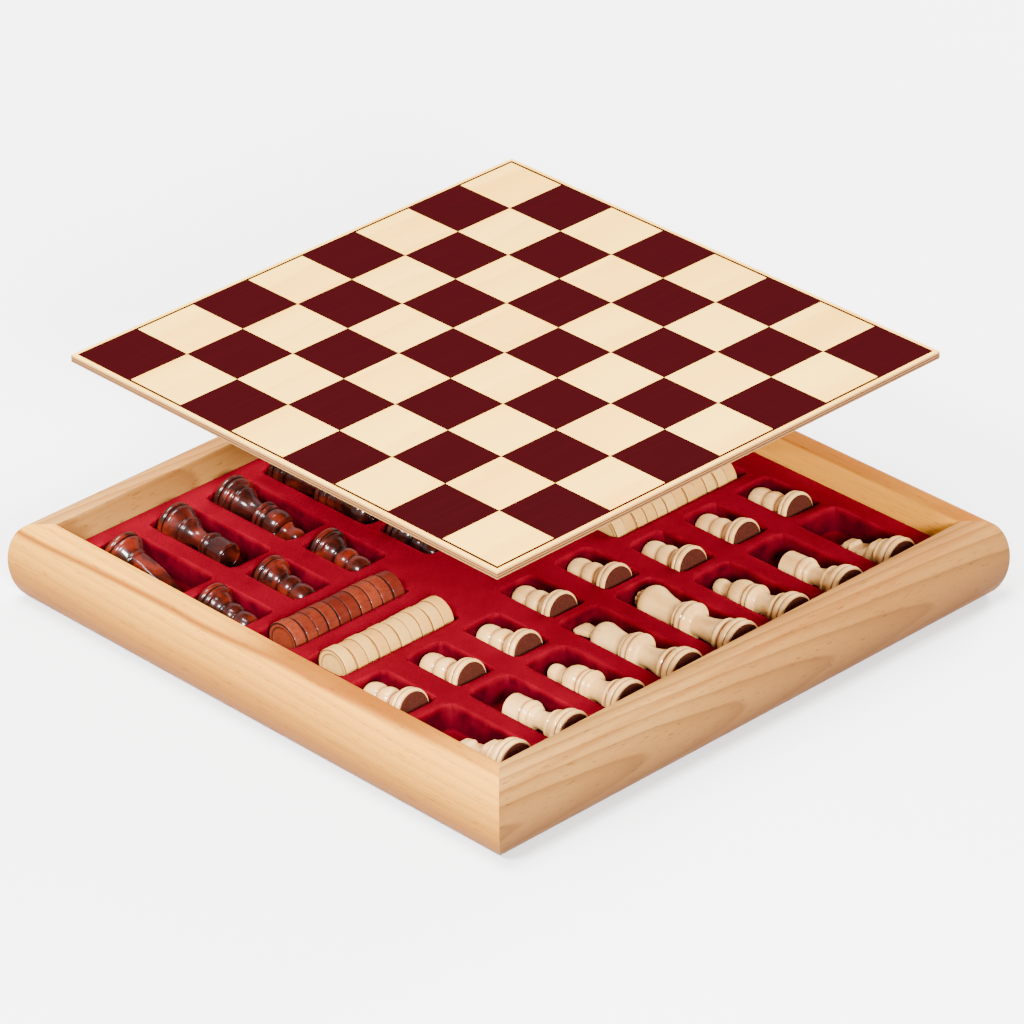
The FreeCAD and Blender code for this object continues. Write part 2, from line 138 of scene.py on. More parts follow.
def mixed(tree, share, first, second, blend="MIX"):
    """Two colours mixed by a share."""
    made = add(tree, "Mix", {0: share, 6: first, 7: second}, data_type="RGBA", blend_type=blend)
    return made.outputs[2]


def ramp(tree, value, low, high):
    """A value stretched so that low becomes nought and high becomes one, with soft ends."""
    inputs = {"Value": value, "From Min": low, "From Max": high}
    return add(tree, "MapRange", inputs, interpolation_type="SMOOTHSTEP").outputs[0]


def noise(tree, place, scale, detail=2.0, roughness=0.5):
    """Soft noise from nought to one."""
    inputs = {"Vector": place, "Scale": scale, "Detail": detail, "Roughness": roughness}
    return add(tree, "TexNoise", inputs).outputs[0]


def stretched(tree, place, along, across, shift=(0.0, 0.0, 0.0)):
    """A place scaled differently along x and across it, to draw a pattern out along the grain."""
    inputs = {"Vector": place, "Location": shift, "Scale": (along, across, across)}
    return add(tree, "Mapping", inputs).outputs[0]


def new_group(name, inputs, outputs):
    """An empty node group; inputs are given as name: (kind, value) and outputs as name: kind."""
    tree = bpy.data.node_groups.new(name, "ShaderNodeTree")
    for label, (kind, value) in inputs.items():
        socket = tree.interface.new_socket(label, in_out="INPUT", socket_type="NodeSocket" + kind)
        if value is not None:
            socket.default_value = value
    for label, kind in outputs.items():
        tree.interface.new_socket(label, in_out="OUTPUT", socket_type="NodeSocket" + kind)
    return tree, tree.nodes.new("NodeGroupInput").outputs, tree.nodes.new("NodeGroupOutput").inputs


def wood_grain_group():
    """Sawn wood, grain along x: growth rings about a far pith, fine fibres, short flecks and slow tone."""
    inputs = {"Vector": ("Vector", None), "Ring Width": ("Float", 0.006), "Waviness": ("Float", 0.004)}
    outputs = {"Rings": "Float", "Fibres": "Float", "Flecks": "Float", "Tone": "Float"}
    tree, given, result = new_group("Wood grain", inputs, outputs)
    place = given["Vector"]
    wander = noise(tree, stretched(tree, place, 5.0, 24.0), 1.0, 3.0)
    parts = add(tree, "SeparateXYZ", {"Vector": place}).outputs
    across = add(tree, "CombineXYZ", {"Y": parts[1], "Z": parts[2]}).outputs[0]
    out = add(tree, "VectorMath", {0: across}, operation="LENGTH").outputs["Value"]
    bent = maths(tree, "MULTIPLY_ADD", maths(tree, "SUBTRACT", wander, 0.5), given["Waviness"], out)
    saw = maths(tree, "FRACT", maths(tree, "DIVIDE", bent, given["Ring Width"]))
    late = maths(tree, "POWER", saw, 2.2)
    fade = maths(tree, "SUBTRACT", 1.0, ramp(tree, saw, 0.88, 1.0))
    tree.links.new(maths(tree, "MULTIPLY", late, fade), result["Rings"])
    tree.links.new(noise(tree, stretched(tree, place, 14.0, 1500.0), 1.0, 3.0, 0.6), result["Fibres"])
    dashes = noise(tree, stretched(tree, place, 130.0, 1300.0, (1.7, 0.4, 2.3)), 1.0, 1.0)
    tree.links.new(ramp(tree, dashes, 0.66, 0.74), result["Flecks"])
    slow = noise(tree, stretched(tree, place, 4.0, 30.0, (3.1, 0.7, 1.9)), 1.0, 2.0)
    tree.links.new(slow, result["Tone"])
    return tree


wood_grain = wood_grain_group()


def new_material(name):
    """A material with only its shader: the material, its tree, the shader and the object place."""
    material = bpy.data.materials.new(name)
    material.use_nodes = True
    tree = material.node_tree
    shader = tree.nodes["Principled BSDF"]
    place = tree.nodes.new("ShaderNodeTexCoord").outputs["Object"]
    return material, tree, shader, place


streak_wander = 0.004
streak_half_width = 0.0022
foot_shade_strength = 0.75


def pine_material(name, turn_degrees, pith, lean_degrees, rings, colours, streak_line):
    """Varnished pine: early wood, late wood and a warm tone about a leaning pith, one resin streak, and
    painted shade darkening the belly towards its foot.
    """
    pale, late_wood, warm, streak = colours
    ring_width, waviness, ring_strength = rings
    streak_height, streak_slope, streak_strength = streak_line
    material, tree, shader, place = new_material(name)
    turn = {"Vector": place, "Rotation": (0, 0, math.radians(turn_degrees))}
    turned = add(tree, "Mapping", turn).outputs[0]
    lean = {"Vector": turned, "Location": pith, "Rotation": (0, 0, math.radians(lean_degrees))}
    placed = add(tree, "Mapping", lean).outputs[0]
    inputs = {"Vector": placed, "Ring Width": ring_width, "Waviness": waviness}
    grain = add(tree, "Group", inputs, node_tree=wood_grain).outputs
    up = add(tree, "SeparateXYZ", {"Vector": turned}).outputs
    toned = mixed(tree, ramp(tree, grain["Tone"], 0.35, 0.75), pale, warm)
    # Painted shade: the belly is mixed towards late wood nearer the foot of the rail, where less light falls.
    foot_shade = maths(tree, "SUBTRACT", 1.0, ramp(tree, up[2], 0.1 * rail_height, 0.8 * rail_height))
    base = mixed(tree, maths(tree, "MULTIPLY", foot_shade, foot_shade_strength), toned, late_wood)
    ringed = mixed(tree, maths(tree, "MULTIPLY", grain["Rings"], ring_strength), base, late_wood)
    wander = maths(tree, "SUBTRACT", noise(tree, stretched(tree, turned, 9.0, 5.0), 1.0), 0.5)
    drift = maths(tree, "MULTIPLY_ADD", wander, streak_wander, maths(tree, "MULTIPLY", up[0], streak_slope))
    line = maths(tree, "ADD", drift, streak_height)
    off = maths(tree, "ABSOLUTE", maths(tree, "SUBTRACT", up[2], line))
    band = maths(tree, "SUBTRACT", 1.0, ramp(tree, off, 0.0, streak_half_width))
    streaked = mixed(tree, maths(tree, "MULTIPLY", band, streak_strength), ringed, streak)
    fine = maths(tree, "MULTIPLY", ramp(tree, grain["Fibres"], 0.48, 0.75), 0.25)
    fibred = mixed(tree, fine, streaked, late_wood)
    flecked = mixed(tree, maths(tree, "MULTIPLY", grain["Flecks"], 0.45), fibred, late_wood, "MULTIPLY")
    tree.links.new(flecked, shader.inputs["Base Color"])
    tree.links.new(maths(tree, "MULTIPLY_ADD", grain["Fibres"], 0.16, 0.38), shader.inputs["Roughness"])
    bump = add(tree, "Bump", {"Height": grain["Fibres"], "Strength": 0.12, "Distance": 0.0002})
    tree.links.new(bump.outputs[0], shader.inputs["Normal"])
    shader.inputs["Specular IOR Level"].default_value = 0.06
    return material


honey_pine = (srgb(220, 152, 46), srgb(140, 80, 28), srgb(206, 136, 40), srgb(126, 66, 12))
# The tan pine of the front and back rails is partly their own tan board with its broad figure and partly
# painted shade: it is darker than the honey pine because less light falls on these rails.
shaded_tan_pine = (srgb(170, 122, 62), srgb(100, 57, 25), srgb(150, 100, 47), srgb(118, 60, 16))
broad_rings = (0.0055, 0.008, 0.7)
straight_rings = (0.0048, 0.007, 0.35)
front_pith = (0, 0.199, -0.016)
side_pith = (0, 0.131, -0.06)
front_streak = (0.0385, 0.008, 0.3)
side_streak = (0.0398, 0.012, 0.9)
front_pine = pine_material("front rail pine", 0.0, front_pith, 4.8, broad_rings, shaded_tan_pine, front_streak)
side_pine = pine_material("side rail pine", 90.0, side_pith, 1.2, straight_rings, honey_pine, side_streak)
for quarter, side in enumerate(("front", "right", "back", "left")):
    surface = rail_surface(quarter)
    lines, around = surface.shape[:2]
    faces = [list(face) for face in grid_faces(lines, around, True)[:, ::-1]]
    faces.append(list(range(around)))
    faces.append(list(range(lines * around - 1, (lines - 1) * around - 1, -1)))
    pine = front_pine if quarter % 2 == 0 else side_pine
    rail = add_piece("rail_wood_" + side, surface, faces, pine, 30.0)
    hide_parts("rail_" + side)
    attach(rail, "box")


# Base panel
# One thin sheet of plain board, let into a groove of the rails. It shows only from underneath.
def panel_material():
    """Plain thin board: slow changes of tone with darker fibres."""
    material, tree, shader, place = new_material("base panel board")
    inputs = {"Vector": place, "Ring Width": 0.03, "Waviness": 0.05}
    grain = add(tree, "Group", inputs, node_tree=wood_grain).outputs
    broad = mixed(tree, grain["Tone"], srgb(170, 112, 58), srgb(146, 92, 46))
    fine = maths(tree, "MULTIPLY", grain["Fibres"], 0.5)
    tree.links.new(mixed(tree, fine, broad, srgb(116, 70, 34)), shader.inputs["Base Color"])
    tree.links.new(maths(tree, "MULTIPLY_ADD", grain["Fibres"], 0.2, 0.55), shader.inputs["Roughness"])
    return material


frame["nodes"]["base_panel"].data.materials.clear()
frame["nodes"]["base_panel"].data.materials.append(panel_material())


# Flocked tray
# One formed sheet with a pocket for every man and a trough for every stack, covered all over with short red
# flock. The walls are steep and the lips rounded. A paler line along the lips is a painted highlight, and the
# darker walls and floors of the pockets are painted shade.
TRAY_BORDER = 0.011
POCKET_DEPTH = 0.014
POCKET_CORNER = 0.004
LIP_OUTSIDE = 0.001
WALL_INSIDE = 0.0005
MEN_PITCH = 0.037
MAJOR_POCKET_WIDTH = 0.025
PAWN_POCKET_WIDTH = 0.022
MINOR_POCKET_LENGTH = 0.0605
ROYAL_POCKET_LENGTH = 0.0765
PAWN_POCKET_LENGTH = 0.036
PAWN_ROW_STRIP = 0.008
MIDDLE_PAWN_STRIP = 0.006
TROUGH_WIDTH = 0.0225
TROUGH_MIDDLE = 0.0175
TROUGH_OUTER_END = 0.136
TROUGH_END_GAP = 0.0015
tray_low, tray_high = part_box("flocked_tray")
majors_end = rail_inner - TRAY_BORDER
pawns_end = majors_end - MINOR_POCKET_LENGTH - PAWN_ROW_STRIP
middle_pawns_end = majors_end - ROYAL_POCKET_LENGTH - MIDDLE_PAWN_STRIP


def pocket_rectangles():
    """Low x, high x, low y, high y of every pocket: the light half, its half turn, then the troughs."""
    light = []
    for place in range(8):
        middle = (place - 3.5) * MEN_PITCH
        royal = place in (3, 4)
        length = ROYAL_POCKET_LENGTH if royal else MINOR_POCKET_LENGTH
        half = MAJOR_POCKET_WIDTH / 2
        light.append((middle - half, middle + half, -majors_end, -majors_end + length))
        end = middle_pawns_end if royal else pawns_end
        half = PAWN_POCKET_WIDTH / 2
        light.append((middle - half, middle + half, -end, -end + PAWN_POCKET_LENGTH))
    dark = [(-x1, -x0, -y1, -y0) for x0, x1, y0, y1 in light]
    troughs = []
    for tone, row in (("light", -1), ("dark", 1)):
        y0 = row * TROUGH_MIDDLE - TROUGH_WIDTH / 2
        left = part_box(tone + "_draughts_left")[1][0] + TROUGH_END_GAP
        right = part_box(tone + "_draughts_right")[0][0] - TROUGH_END_GAP
        troughs.append((-TROUGH_OUTER_END, left, y0, y0 + TROUGH_WIDTH))
        troughs.append((right, TROUGH_OUTER_END, y0, y0 + TROUGH_WIDTH))
    return np.array(light + dark + troughs)


def ruled_lines(low_edges, high_edges, end):
    """Grid lines from end to end: close together over every pocket wall, and spread out between."""
    wall = np.linspace(-LIP_OUTSIDE, WALL_INSIDE, 9)
    near = np.concatenate([(low_edges[:, None] + wall).ravel(), (high_edges[:, None] - wall).ravel()])
    between = np.linspace(-end, end, 95)
    lines = np.unique(np.round(np.concatenate([near, between]), 5))
    kept = lines[np.abs(lines) < end - LIP_OUTSIDE / 4]
    apart = np.concatenate([[True], np.diff(kept) > LIP_OUTSIDE / 10])
    return np.concatenate([[-end], kept[apart], [end]])


def tray_surface(pockets):
    """The tray's upper face: level, and sunk by a soft step over the distance to the nearest pocket edge."""
    end = tray_high[0]
    x = ruled_lines(pockets[:, 0], pockets[:, 1], end)
    y = ruled_lines(pockets[:, 2], pockets[:, 3], end)
    x, y = np.meshgrid(x, y, indexing="ij")
    nearest = np.full(x.shape, end)
    for x0, x1, y0, y1 in pockets:
        out_x = np.abs(x - (x0 + x1) / 2) - (x1 - x0) / 2 + POCKET_CORNER
        out_y = np.abs(y - (y0 + y1) / 2) - (y1 - y0) / 2 + POCKET_CORNER
        corner = np.hypot(np.maximum(out_x, 0), np.maximum(out_y, 0))
        nearest = np.minimum(nearest, corner + np.minimum(np.maximum(out_x, out_y), 0) - POCKET_CORNER)
    share = np.clip((LIP_OUTSIDE - nearest) / (LIP_OUTSIDE + WALL_INSIDE), 0, 1)
    step = share * share * (3 - 2 * share)
    lip = np.exp(-(((nearest - LIP_OUTSIDE / 2) / LIP_OUTSIDE) ** 2)) * (1 - step)
    return np.stack([x, y, tray_high[2] - POCKET_DEPTH * step], axis=-1), lip, step


def border_walk(rows, columns):
    """Numbers of a grid's border points, once round."""
    first = np.arange(columns)
    last = (rows - 1) * columns + np.arange(columns)[::-1]
    rise = np.arange(1, rows - 1) * columns
    return np.concatenate([first, rise + columns - 1, last, rise[::-1]])


def set_values(piece, name, values):
    """Keeps one value for every point of a piece, for its material."""
    attribute = piece.data.attributes.new(name, "FLOAT", "POINT")
    attribute.data.foreach_set("value", np.asarray(values, dtype=np.float32))


def flock_material():
    """Red flock: short upright nap with brushed patches, a paler line painted along the lips as a highlight,
    and painted shade down the pocket walls and floors.
    """
    material, tree, shader, place = new_material("red flock")
    patches = noise(tree, place, 26.0, 4.0, 0.6)
    nap = noise(tree, place, 2600.0, 2.0, 0.7)
    brushed = mixed(tree, ramp(tree, patches, 0.35, 0.7), srgb(96, 1, 16), srgb(108, 2, 21))
    # Painted shade: the flock is darkened down the pocket walls, and a little less on the pocket floors.
    down = add(tree, "Attribute", {}, attribute_name="down").outputs["Fac"]
    wall_shade_share = maths(tree, "MULTIPLY", ramp(tree, down, 0.0, 0.25), 0.95)
    deep = maths(tree, "MULTIPLY_ADD", ramp(tree, down, 0.85, 1.0), -0.6, wall_shade_share)
    pocket_shaded = mixed(tree, deep, brushed, srgb(44, 0, 7))
    # Painted highlight: a paler red line along the lips, broken up by noise, where light would catch the nap.
    lip = add(tree, "Attribute", {}, attribute_name="lip").outputs["Fac"]
    broken = maths(tree, "MULTIPLY", lip, ramp(tree, noise(tree, place, 90.0, 3.0), 0.35, 0.65))
    lined = mixed(tree, maths(tree, "MULTIPLY", broken, 0.35), pocket_shaded, srgb(148, 14, 34))
    shade = maths(tree, "MULTIPLY", ramp(tree, nap, 0.35, 0.7), 0.4)
    tree.links.new(mixed(tree, shade, lined, srgb(72, 0, 10)), shader.inputs["Base Color"])
    tree.links.new(maths(tree, "MULTIPLY_ADD", nap, 0.1, 0.85), shader.inputs["Roughness"])
    bump = add(tree, "Bump", {"Height": nap, "Strength": 0.5, "Distance": 0.0005})
    tree.links.new(bump.outputs[0], shader.inputs["Normal"])
    shader.inputs["Specular IOR Level"].default_value = 0.02
    shader.inputs["Sheen Weight"].default_value = 0.01
    shader.inputs["Sheen Roughness"].default_value = 0.4
    shader.inputs["Sheen Tint"].default_value = srgb(255, 30, 50)
    return material


red_flock = flock_material()
upper, lip_values, down_values = tray_surface(pocket_rectangles())
rows, columns = upper.shape[:2]
upper = upper.reshape(-1, 3)
walk = border_walk(rows, columns)
skirt = upper[walk] * (1, 1, 0) + (0, 0, tray_low[2])
low = len(upper) + np.arange(len(walk))
faces = [list(face) for face in grid_faces(rows, columns)[:, ::-1]]
around = np.stack([walk, np.roll(walk, -1), np.roll(low, -1), low], axis=-1)
faces += [list(face) for face in around]
faces.append(list(low))
tray = add_piece("tray_flock", np.concatenate([upper, skirt]), faces, red_flock, 75.0)
set_values(tray, "lip", np.append(lip_values.ravel(), np.zeros(len(skirt))))
set_values(tray, "down", np.append(down_values.ravel(), np.zeros(len(skirt))))
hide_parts("flocked_tray")
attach(tray, "box")


# Turned chessmen
# Each is turned from one blank of close-grained wood: a round base rim, a groove, a second ring and then
# its own outline, lacquered pale or stained red-brown. A disc of brown felt is glued under its base, and it
# lies on its side in a pocket.
FELT_THICKNESS = 0.0008
FELT_INSET = 0.0013
RIM_HEIGHT = 0.0027
RIM_GROOVE = 0.0006
RIM_SHARE = 0.96
GROOVE_SHARE = 0.87
BODY_START_SHARE = 0.95
BASE_END_SHARE = 0.3
ROUND_STEPS = 56
OUTLINE_STEP = 0.0003
GROOVE_DEPTH = 0.0008
pawn_shares = (
    (0.97, 0.043, 0.88, 0.090),
    (0.76, 0.111),
    (0.72, 0.176, 0.56, 0.265),
    (0.50, 0.319),
    (0.54, 0.330),
    (0.66, 0.462, 0.58, 0.591),
    (0.54, 0.606),
    (0.56, 0.620),
    (0.66, 0.767, 0.60, 0.921),
    (0.45, 0.982, 0.0, 1.0),
)
rook_shares = (
    (0.985, 0.045, 0.90, 0.092),
    (0.80, 0.142, 0.68, 0.203),
    (0.73, 0.230, 0.64, 0.261),
    (0.45, 0.380, 0.42, 0.551),
    (0.50, 0.562),
    (0.55, 0.586, 0.50, 0.610),
    (0.60, 0.617),
    (0.68, 0.662, 0.63, 0.707),
    (0.59, 0.712),
    (0.62, 0.723),
    (0.66, 0.763),
    (0.68, 0.960),
    (0.67, 0.989, 0.62, 1.0),
    (0.52, 1.0),
    (0.48, 0.776),
    (0.0, 0.776),
)
bishop_shares = (
    (0.985, 0.034, 0.90, 0.070),
    (0.76, 0.088, 0.70, 0.118),
    (0.77, 0.138, 0.68, 0.170),
    (0.52, 0.258, 0.47, 0.411),
    (0.55, 0.419),
    (0.68, 0.425),
    (0.75, 0.449, 0.68, 0.473),
    (0.62, 0.477),
    (0.65, 0.483),
    (0.71, 0.509, 0.64, 0.535),
    (0.58, 0.539),
    (0.61, 0.545),
    (0.72, 0.639, 0.47, 0.768),
    (0.40, 0.800, 0.36, 0.830),
    (0.37, 0.860),
    (0.41, 0.920, 0.37, 0.968),
    (0.28, 0.992, 0.0, 1.0),
)
queen_shares = (
    (0.985, 0.026, 0.92, 0.053),
    (0.78, 0.068, 0.72, 0.098),
    (0.80, 0.119, 0.70, 0.146),
    (0.52, 0.255, 0.45, 0.405),
    (0.54, 0.416),
    (0.76, 0.422),
    (0.83, 0.441, 0.76, 0.461),
    (0.70, 0.464),
    (0.74, 0.468),
    (0.80, 0.496, 0.71, 0.524),
    (0.63, 0.529),
    (0.665, 0.548, 0.59, 0.569),
    (0.53, 0.601),
    (0.62, 0.706, 0.77, 0.804),
    (0.74, 0.880, 0.50, 0.922),
    (0.30, 0.932),
    (0.34, 0.938),
    (0.37, 0.959, 0.33, 0.982),
    (0.0, 1.0),
)
king_shares = (
    (0.985, 0.025, 0.92, 0.051),
    (0.78, 0.065, 0.72, 0.094),
    (0.80, 0.109, 0.70, 0.129),
    (0.50, 0.231, 0.43, 0.369),
    (0.52, 0.379),
    (0.76, 0.385),
    (0.83, 0.403, 0.76, 0.422),
    (0.70, 0.425),
    (0.74, 0.430),
    (0.79, 0.454, 0.70, 0.480),
    (0.62, 0.485),
    (0.655, 0.502, 0.58, 0.521),
    (0.50, 0.550),
    (0.57, 0.637, 0.665, 0.717),
    (0.63, 0.775, 0.46, 0.811),
    (0.30, 0.826),
    (0.0, 0.826),
)


def arc(start, middle, end, count):
    """Points on the circle through three points of a plane, from the first to the last."""
    a, b, c = (complex(*point) for point in (start, middle, end))
    w = (c - a) / (b - a)
    centre = (b - a) * (w - abs(w) ** 2) / (2j * w.imag) + a
    first = np.angle(a - centre)
    sweep = np.angle((b - centre) / (a - centre)) + np.angle((c - centre) / (b - centre))
    angles = first + sweep * np.linspace(0, 1, count)
    ring = centre + abs(a - centre) * np.exp(1j * angles)
    return np.stack([ring.real, ring.imag], axis=-1)


def eased(line, step, passes):
    """A line of points set evenly apart, its corners softened by averaging each point with its neighbours."""
    gone = np.concatenate([[0], np.cumsum(np.hypot(*np.diff(line, axis=0).T))])
    even = np.linspace(0, gone[-1], max(int(gone[-1] / step), 8))
    out = np.stack([np.interp(even, gone, line[:, 0]), np.interp(even, gone, line[:, 1])], axis=-1)
    for _ in range(passes):
        out[1:-1] = (out[:-2] + 2 * out[1:-1] + out[2:]) / 4
    return out


def man_outline(shares, radius, height):
    """Half the outline of a turned man, as (out, up) from the middle of its base to that of its top."""
    rim_top = FELT_THICKNESS + RIM_HEIGHT
    start = rim_top + RIM_GROOVE
    inset = RIM_SHARE * radius
    rim = arc((inset, FELT_THICKNESS), (radius, FELT_THICKNESS + RIM_HEIGHT / 2), (inset, rim_top), 9)
    lines = [np.array([(0, FELT_THICKNESS)]), rim]
    lines.append(np.array([(GROOVE_SHARE * radius, rim_top), (GROOVE_SHARE * radius, start)]))
    lines.append(np.array([(BODY_START_SHARE * radius, start)]))
    size = np.array((radius, height - start))
    for step in shares:
        spots = np.array(step).reshape(-1, 2) * size + (0, start)
        lines.append(spots if len(spots) == 1 else arc(lines[-1][-1], spots[0], spots[1], 25)[1:])
    return eased(np.concatenate(lines), OUTLINE_STEP, 2)


def groove_depth(outline):
    """How deep each point lies in a narrow groove: the outline closed over a small reach, less itself."""
    reach = 5
    out = np.pad(outline[:, 0], 2 * reach, mode="edge")
    grown = np.max(np.lib.stride_tricks.sliding_window_view(out, 2 * reach + 1), axis=1)
    closed = np.min(np.lib.stride_tricks.sliding_window_view(grown, 2 * reach + 1), axis=1)
    return np.clip((closed - outline[:, 0]) / GROOVE_DEPTH, 0, 1)


def lathed(outline):
    """The outline turned about z: its rings of points, then the two poles, and the faces that close it."""
    rings = outline[1:-1]
    angles = np.arange(ROUND_STEPS) * 2 * math.pi / ROUND_STEPS
    x = rings[:, 0, None] * np.cos(angles)
    y = rings[:, 0, None] * np.sin(angles)
    z = rings[:, 1, None] + 0 * angles
    points = np.stack([x, y, z], axis=-1).reshape(-1, 3)
    poles = np.array([(0, 0, outline[0, 1]), (0, 0, outline[-1, 1])])
    count = len(points)
    faces = [list(face) for face in grid_faces(len(rings), ROUND_STEPS, True)]
    here = np.arange(ROUND_STEPS)
    following = (here + 1) % ROUND_STEPS
    top = count - ROUND_STEPS
    below = np.stack([following, here, np.full_like(here, count)], axis=-1)
    above = np.stack([top + here, top + following, np.full_like(here, count + 1)], axis=-1)
    faces += [list(face) for face in np.concatenate([below, above])]
    return np.concatenate([points, poles]), faces


def lying_tilt(outline, points, height):
    """How far a man tips head down until a point near its head is as low as the lowest of its base."""
    under = points[points[:, 1] > 0][:, 1:]
    rings = np.concatenate([outline, under])
    base = rings[rings[:, 1] < BASE_END_SHARE * height]
    rest = rings[rings[:, 1] >= BASE_END_SHARE * height]
    slopes = (base[:, None, 0] - rest[None, :, 0]) / (rest[None, :, 1] - base[:, None, 1])
    return math.atan(slopes.min(axis=1).max())


def laid(node, points, tilt):
    """Upright points laid on their side, head down by the tilt, until they lie where the CAD node lies."""
    low, high = (np.array(corner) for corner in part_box(node))
    x, y, z = points.T
    along = -y * math.sin(tilt) + z * math.cos(tilt)
    up = -y * math.cos(tilt) - z * math.sin(tilt)
    turn = 1 if node.startswith("light") else -1
    lying = np.stack([turn * x, turn * along, up], axis=-1)
    end = low[1] - lying[:, 1].min() if turn > 0 else high[1] - lying[:, 1].max()
    return lying + ((low[0] + high[0]) / 2, end, low[2] - lying[:, 2].min())


def felt_outline(radius):
    """A thin disc with soft edges, as half its outline."""
    edge = radius - FELT_INSET
    corners = np.array([(0, 0), (edge, 0), (edge, FELT_THICKNESS), (0, FELT_THICKNESS)])
    return eased(corners, OUTLINE_STEP, 1)


def lacquer_material(name, colours, vein_share, roughness, coat):
    """Lacquered close-grained wood: streaks along the man, a mottled stain, and a darker line in every
    groove, partly dark stain and partly painted shade.
    """
    body, vein, pale, groove_stain_and_shade = colours
    material, tree, shader, place = new_material(name)
    along = add(tree, "Mapping", {"Vector": place, "Rotation": (0, 0, math.radians(90))}).outputs[0]
    inputs = {"Vector": along, "Ring Width": 0.0035, "Waviness": 0.004}
    grain = add(tree, "Group", inputs, node_tree=wood_grain).outputs
    mottle = ramp(tree, noise(tree, stretched(tree, along, 60.0, 230.0), 1.0, 3.0), 0.38, 0.66)
    veins = maths(tree, "MULTIPLY", maths(tree, "MAXIMUM", mottle, grain["Rings"]), vein_share)
    spread = stretched(tree, along, 70.0, 110.0, (2.0, 5.0, 1.0))
    cloud = ramp(tree, noise(tree, spread, 1.0, 2.0), 0.45, 0.7)
    toned = mixed(tree, maths(tree, "MULTIPLY", cloud, 0.8), mixed(tree, veins, body, vein), pale)
    lined = mixed(tree, maths(tree, "MULTIPLY", ramp(tree, grain["Fibres"], 0.5, 0.72), 0.3), toned, vein)
    # Darker in the grooves, slit, notches and gouge strokes: on the red-brown men partly the black stain of
    # the grooves, and on all the men painted shade where these recesses lie in shade.
    sunk = add(tree, "Attribute", {}, attribute_name="groove").outputs["Fac"]
    tree.links.new(mixed(tree, sunk, lined, groove_stain_and_shade), shader.inputs["Base Color"])
    gloss = maths(tree, "MULTIPLY_ADD", grain["Fibres"], 0.08, roughness)
    tree.links.new(gloss, shader.inputs["Roughness"])
    bump = add(tree, "Bump", {"Height": grain["Fibres"], "Strength": 0.05, "Distance": 0.0002})
    tree.links.new(bump.outputs[0], shader.inputs["Normal"])
    shader.inputs["Specular IOR Level"].default_value = 0.15
    shader.inputs["Coat Weight"].default_value = coat
    shader.inputs["Coat Roughness"].default_value = 0.05
    return material


def felt_material():
    """Brown felt: a close mat of short fibres, dark between them."""
    material, tree, shader, place = new_material("brown felt")
    fuzz = noise(tree, place, 1800.0, 3.0, 0.7)
    tone = mixed(tree, ramp(tree, fuzz, 0.3, 0.7), srgb(46, 17, 11), srgb(82, 34, 22))
    tree.links.new(tone, shader.inputs["Base Color"])
    tree.links.new(maths(tree, "MULTIPLY_ADD", fuzz, 0.1, 0.85), shader.inputs["Roughness"])
    bump = add(tree, "Bump", {"Height": fuzz, "Strength": 0.6, "Distance": 0.0004})
    tree.links.new(bump.outputs[0], shader.inputs["Normal"])
    shader.inputs["Specular IOR Level"].default_value = 0.08
    return material


# The fourth colour of each is the groove colour: dark stain and painted shade in the recesses.
cream_lacquer = (srgb(234, 181, 106), srgb(200, 134, 68), srgb(244, 197, 122), srgb(122, 56, 26))
red_brown_lacquer = (srgb(54, 12, 7), srgb(18, 5, 4), srgb(100, 26, 13), srgb(6, 2, 2))
light_lacquer = lacquer_material("light lacquer", cream_lacquer, 0.35, 0.3, 0.8)
dark_lacquer = lacquer_material("dark lacquer", red_brown_lacquer, 0.85, 0.25, 0.55)
brown_felt = felt_material()


def place_man(node, points, faces, grooves, radius, tilt):
    """Lays a man and its felt in their pocket, as two pieces that ride together."""
    felt_points, felt_faces = lathed(felt_outline(radius))
    both = laid(node, np.concatenate([points, felt_points]), tilt)
    tone = node.split("_")[0]
    lacquer = light_lacquer if tone == "light" else dark_lacquer
    man = add_piece(node + "_wood", both[: len(points)], faces, lacquer, 50.0)
    set_values(man, "groove", grooves)
    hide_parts(node)
    felt = add_piece(node + "_felt", both[len(points) :], felt_faces, brown_felt)
    for piece in (man, felt):
        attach(piece, node)


def plain_man(shares, radius, height):
    """A man that is turned all over: its points, faces, depths in grooves and outline."""
    outline = man_outline(shares, radius, height)
    points, faces = lathed(outline)
    grooves = np.append(np.repeat(groove_depth(outline)[1:-1], ROUND_STEPS), (0, 0))
    return points, faces, grooves, outline


def joined(first, second):
    """Two shapes of points, faces and groove depths as one."""
    shifted = [[corner + len(first[0]) for corner in face] for face in second[1]]
    return np.concatenate([first[0], second[0]]), first[1] + shifted, np.append(first[2], second[2])


def closed_tube(rings):
    """Faces of rings of points along a path, with both ends closed by one face each."""
    lines, around = rings.shape[:2]
    faces = [list(face) for face in grid_faces(lines, around, True)]
    faces.append(list(range(around))[::-1])
    faces.append(list(range((lines - 1) * around, lines * around)))
    return faces


def flat_oval(count, squareness):
    """Once round an oval with flattened sides, as (across, thick): powers of the cosine and the sine."""
    angles = np.arange(count) * 2 * math.pi / count
    across, thick = np.cos(angles), np.sin(angles)
    return np.sign(across) * np.abs(across) ** squareness, np.sign(thick) * np.abs(thick) ** squareness


# King's finial
# A flat fan worked from the top of the turned crown, widest at its rounded end, lying flat side up.
FINIAL_THICKNESS = 0.0044
finial_heights = (0.80, 0.85, 0.91, 0.965, 0.99, 1.0)
finial_width_shares = (0.24, 0.26, 0.335, 0.42, 0.40, 0.34)
finial_thickness_shares = (1.0, 0.95, 0.85, 0.75, 0.6, 0.4)


